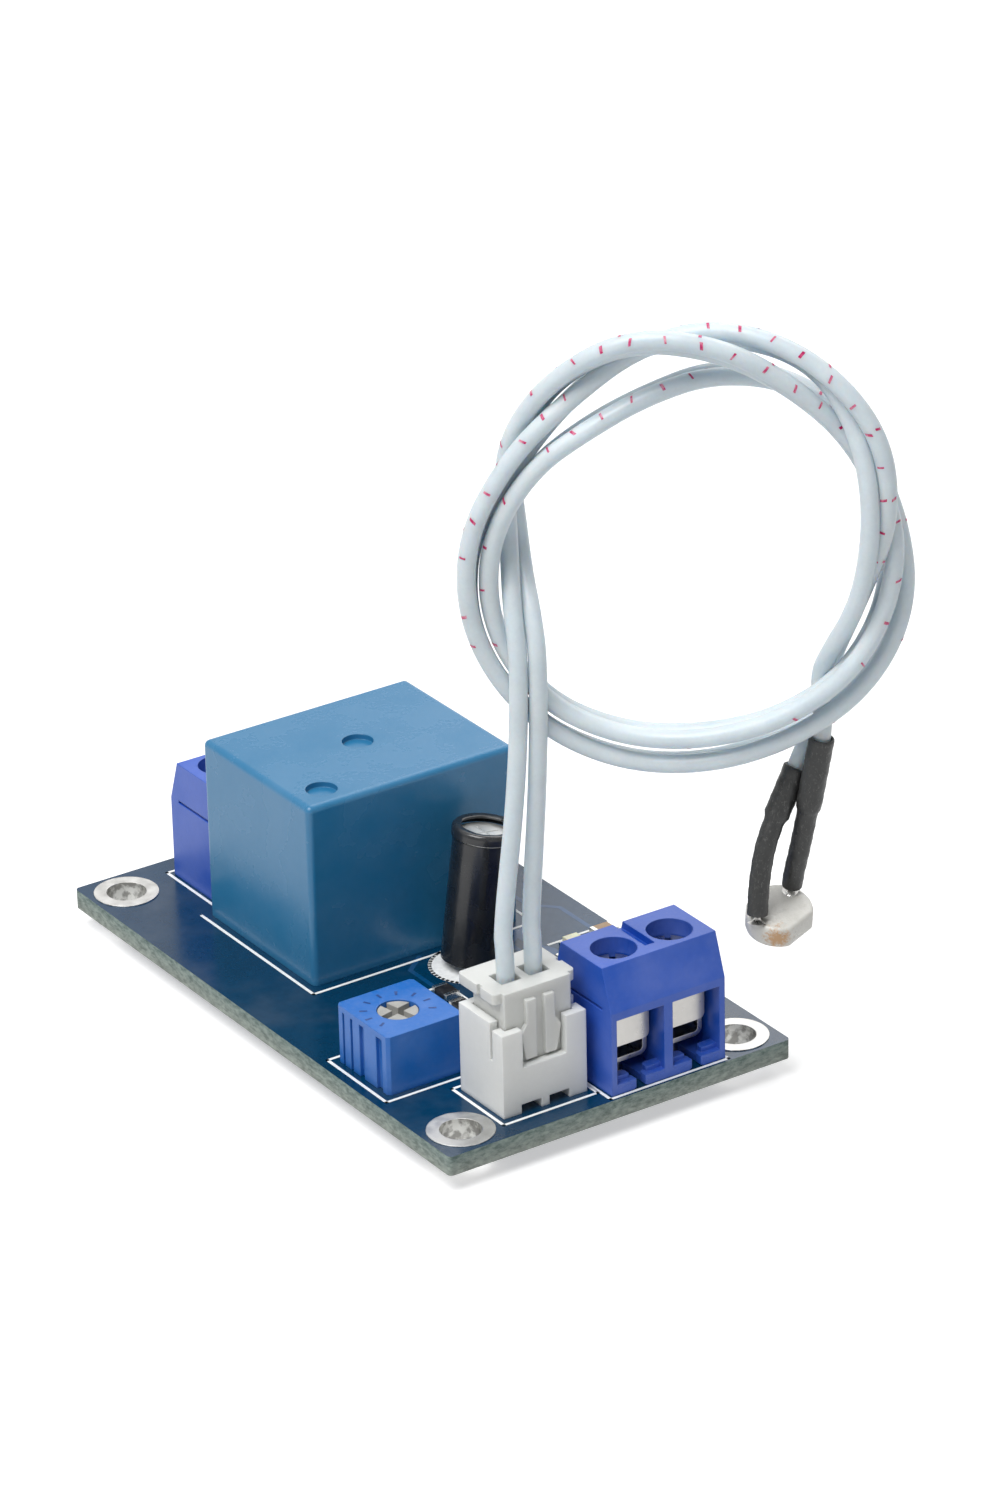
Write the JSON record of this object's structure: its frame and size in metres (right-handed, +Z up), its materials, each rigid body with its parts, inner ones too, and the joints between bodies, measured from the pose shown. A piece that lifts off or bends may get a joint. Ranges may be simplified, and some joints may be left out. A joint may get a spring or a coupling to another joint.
{
  "type": "light sensor relay module",
  "caption": "Relay circuit board with screw terminals, trimmer and a photo resistor on a coiled plug-in lead.",
  "frame": {"origin": "under the middle of the board, at the height of the pin tips that it stands on", "axes": "+X along the short side towards the supply terminal's corner, +Y along the long side from the sensor plug to the relay, +Z up from the board"},
  "size_m": [0.0351, 0.0655, 0.0644],
  "materials": {
    "board": "glossy navy solder mask",
    "plating": "tinned copper",
    "solder": "bright solder",
    "relay_blue": "satin",
    "iron": "plated",
    "bobbin": "satin",
    "copper": "enamelled wire",
    "brass": "bright",
    "tinned": "tinned",
    "terminal_blue": "satin",
    "plated_steel": "zinc plated",
    "trimmer_blue": "satin",
    "rotor_grey": "satin",
    "ceramic": "matte ceramic",
    "nylon": "satin",
    "can": "satin",
    "sleeve_black": "gloss",
    "rubber": "matte",
    "package_black": "matte",
    "chip_tan": "matte ceramic",
    "led_lens": "clear",
    "wire_white": "satin insulation",
    "shrink_sleeve": "satin",
    "sensor_body": "ceramic"
  },
  "bodies": {
    "board": {"capacitor_bung": "rubber", "capacitor_can": "can", "capacitor_leads": "tinned", "capacitor_sleeve": "sleeve_black", "chip_capacitors": "chip_tan", "chip_end_caps": "tinned", "chip_resistors": "package_black", "circuit_board": "board", "comparator": "package_black", "component_legs": "tinned", "diode": "package_black", "header_pins": "tinned", "hole_plating": "plating", "indicator_leds": "led_lens", "joint_sleeves": "shrink_sleeve", "lead_coil": "wire_white", "lead_rise_left": "wire_white", "lead_rise_right": "wire_white", "lead_tail_left": "wire_white", "lead_tail_right": "wire_white", "load_terminal_cages": "plated_steel", "load_terminal_housing": "terminal_blue", "photo_resistor": "sensor_body", "plug_contacts": "tinned", "relay_base": "relay_blue", "relay_bobbin": "bobbin", "relay_closed_contact": "brass", "relay_coil_pins": "tinned", "relay_core": "iron", "relay_cover": "relay_blue", "relay_open_contact": "brass", "relay_winding": "copper", "relay_yoke": "iron", "sensor_header": "nylon", "sensor_leads": "tinned", "sensor_plug": "nylon", "solder_joints": "solder", "supply_terminal_cages": "plated_steel", "supply_terminal_housing": "terminal_blue", "transistor": "package_black", "trimmer_element": "ceramic", "trimmer_housing": "trimmer_blue", "trimmer_pins": "tinned"},
    "relay_armature_body": {"relay_armature": "iron", "relay_contact_leaf": "brass"},
    "trimmer_rotor_body": {"trimmer_rotor": "rotor_grey", "trimmer_wiper": "brass"},
    "supply_guard_body_1": {"supply_wire_guard_1": "plated_steel"},
    "supply_screw_body_1": {"supply_screw_1": "plated_steel"},
    "supply_guard_body_2": {"supply_wire_guard_2": "plated_steel"},
    "supply_screw_body_2": {"supply_screw_2": "plated_steel"},
    "load_guard_body_1": {"load_wire_guard_1": "plated_steel"},
    "load_screw_body_1": {"load_screw_1": "plated_steel"},
    "load_guard_body_2": {"load_wire_guard_2": "plated_steel"},
    "load_screw_body_2": {"load_screw_2": "plated_steel"},
    "load_guard_body_3": {"load_wire_guard_3": "plated_steel"},
    "load_screw_body_3": {"load_screw_3": "plated_steel"}
  },
  "joints": [
    {"name": "armature_tilt", "type": "hinge", "parent": "board", "child": "relay_armature_body", "pos_m": [-0.0055, 0.00913, 0.0147], "axis": [0, 1, 0], "range_deg": [0, 2.5], "stiffness_Nm_per_rad": 0.001, "springref_deg": -5.73},
    {"name": "trimmer_turn", "type": "hinge", "parent": "board", "child": "trimmer_rotor_body", "pos_m": [-0.01083, -0.0132, 0.0071], "axis": [0, 0, 1], "range_deg": [-120, 120]},
    {"name": "supply_guard_slide_1", "type": "slide", "parent": "board", "child": "supply_guard_body_1", "axis": [0, 0, 1], "range_m": [-0.00115, 0.0013]},
    {"name": "supply_screw_turn_1", "type": "hinge", "parent": "supply_guard_body_1", "child": "supply_screw_body_1", "pos_m": [0.00204, -0.0231, 0.0096], "axis": [0, 0, 1], "range_deg": [-829, 937]},
    {"name": "supply_guard_slide_2", "type": "slide", "parent": "board", "child": "supply_guard_body_2", "axis": [0, 0, 1], "range_m": [-0.00115, 0.0013]},
    {"name": "supply_screw_turn_2", "type": "hinge", "parent": "supply_guard_body_2", "child": "supply_screw_body_2", "pos_m": [0.00712, -0.0231, 0.0096], "axis": [0, 0, 1], "range_deg": [-829, 937]},
    {"name": "load_guard_slide_1", "type": "slide", "parent": "board", "child": "load_guard_body_1", "axis": [0, 0, 1], "range_m": [-0.00115, 0.0013]},
    {"name": "load_screw_turn_1", "type": "hinge", "parent": "load_guard_body_1", "child": "load_screw_body_1", "pos_m": [0.00508, 0.02105, 0.0096], "axis": [0, 0, 1], "range_deg": [-829, 937]},
    {"name": "load_guard_slide_2", "type": "slide", "parent": "board", "child": "load_guard_body_2", "axis": [0, 0, 1], "range_m": [-0.00115, 0.0013]},
    {"name": "load_screw_turn_2", "type": "hinge", "parent": "load_guard_body_2", "child": "load_screw_body_2", "pos_m": [0, 0.02105, 0.0096], "axis": [0, 0, 1], "range_deg": [-829, 937]},
    {"name": "load_guard_slide_3", "type": "slide", "parent": "board", "child": "load_guard_body_3", "axis": [0, 0, 1], "range_m": [-0.00115, 0.0013]},
    {"name": "load_screw_turn_3", "type": "hinge", "parent": "load_guard_body_3", "child": "load_screw_body_3", "pos_m": [-0.00508, 0.02105, 0.0096], "axis": [0, 0, 1], "range_deg": [-829, 937]}
  ],
  "couplings": [
    {"joint": "supply_screw_turn_1", "follows": "supply_guard_slide_1", "rad_per_m": 12566},
    {"joint": "supply_screw_turn_2", "follows": "supply_guard_slide_2", "rad_per_m": 12566},
    {"joint": "load_screw_turn_1", "follows": "load_guard_slide_1", "rad_per_m": 12566},
    {"joint": "load_screw_turn_2", "follows": "load_guard_slide_2", "rad_per_m": 12566},
    {"joint": "load_screw_turn_3", "follows": "load_guard_slide_3", "rad_per_m": 12566}
  ]
}
